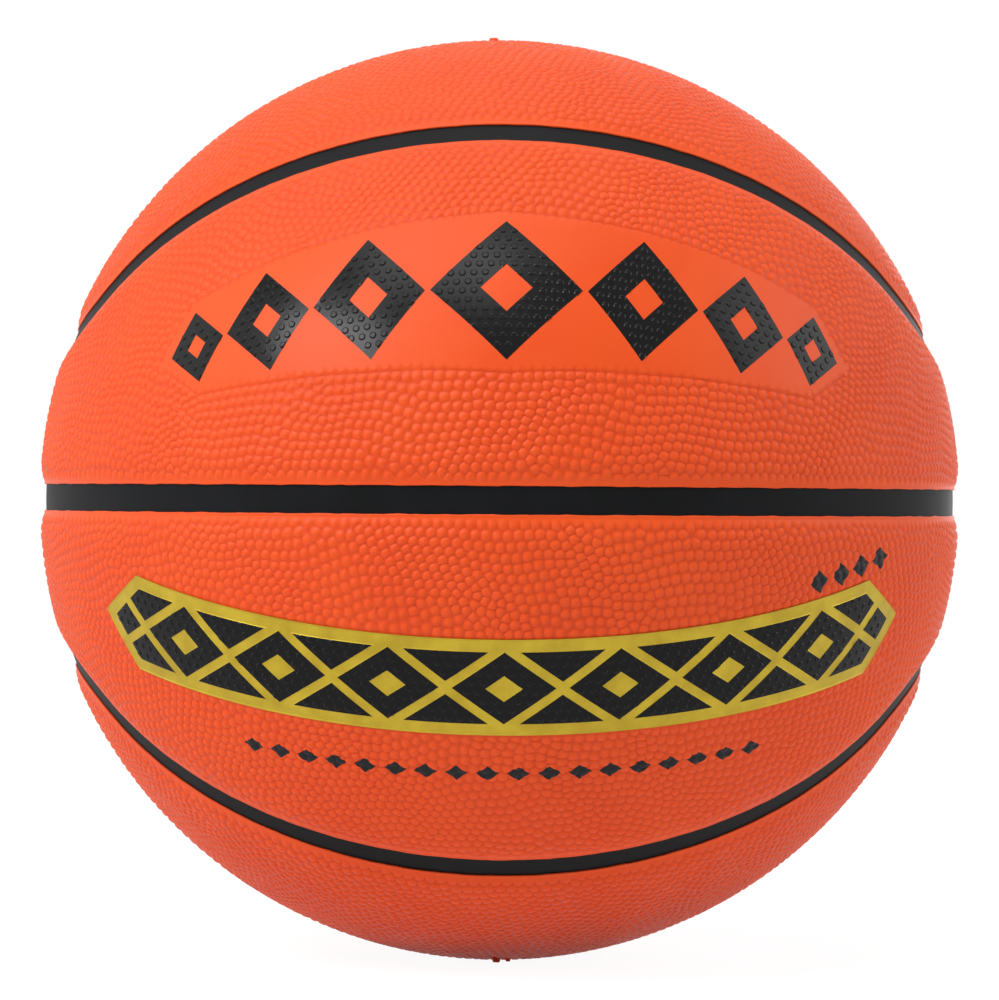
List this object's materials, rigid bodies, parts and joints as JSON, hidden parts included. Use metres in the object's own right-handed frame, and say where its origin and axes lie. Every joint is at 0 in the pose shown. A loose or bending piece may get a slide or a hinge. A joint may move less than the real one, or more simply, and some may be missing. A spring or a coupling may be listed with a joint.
{
  "type": "basketball",
  "caption": "Inflated moulded rubber ball with rounded cover panels between recessed channels, and a needle valve in the channel at the back.",
  "frame": {"origin": "the middle of the ball", "axes": "+Z is the axis of the equator channel, up as pictured; the pictured front faces -Y and the valve faces +Y"},
  "size_m": [0.229, 0.2296, 0.2296],
  "materials": {
    "cover_rubber": "orange moulded rubber with a pebbled surface",
    "channel_rubber": "smooth black satin rubber",
    "carcass_rubber": "matt brown calendered rubber",
    "nylon_thread": "wound nylon thread",
    "butyl": "matt black butyl rubber",
    "valve_rubber": "moulded black rubber",
    "black_print": "black printed motif on the cover",
    "gold_print": "gold printed ribbon on the cover"
  },
  "bodies": {
    "root": {"bladder": "butyl", "valve_patch": "butyl", "valve_boot": "valve_rubber", "valve_core": "valve_rubber", "thread_winding": "nylon_thread", "carcass": "carcass_rubber", "equator_strip": "channel_rubber", "upper_oval_strip": "channel_rubber", "lower_oval_strip": "channel_rubber", "upper_crown_strip": "channel_rubber", "lower_crown_strip": "channel_rubber", "right_upper_strip": "channel_rubber", "right_lower_strip": "channel_rubber", "left_upper_strip": "channel_rubber", "left_lower_strip": "channel_rubber", "upper_front_panel": "cover_rubber", "lower_front_panel": "cover_rubber", "upper_back_panel": "cover_rubber", "lower_back_panel": "cover_rubber", "upper_front_crown": "cover_rubber", "lower_front_crown": "cover_rubber", "upper_back_crown": "cover_rubber", "lower_back_crown": "cover_rubber"}
  },
  "joints": []
}
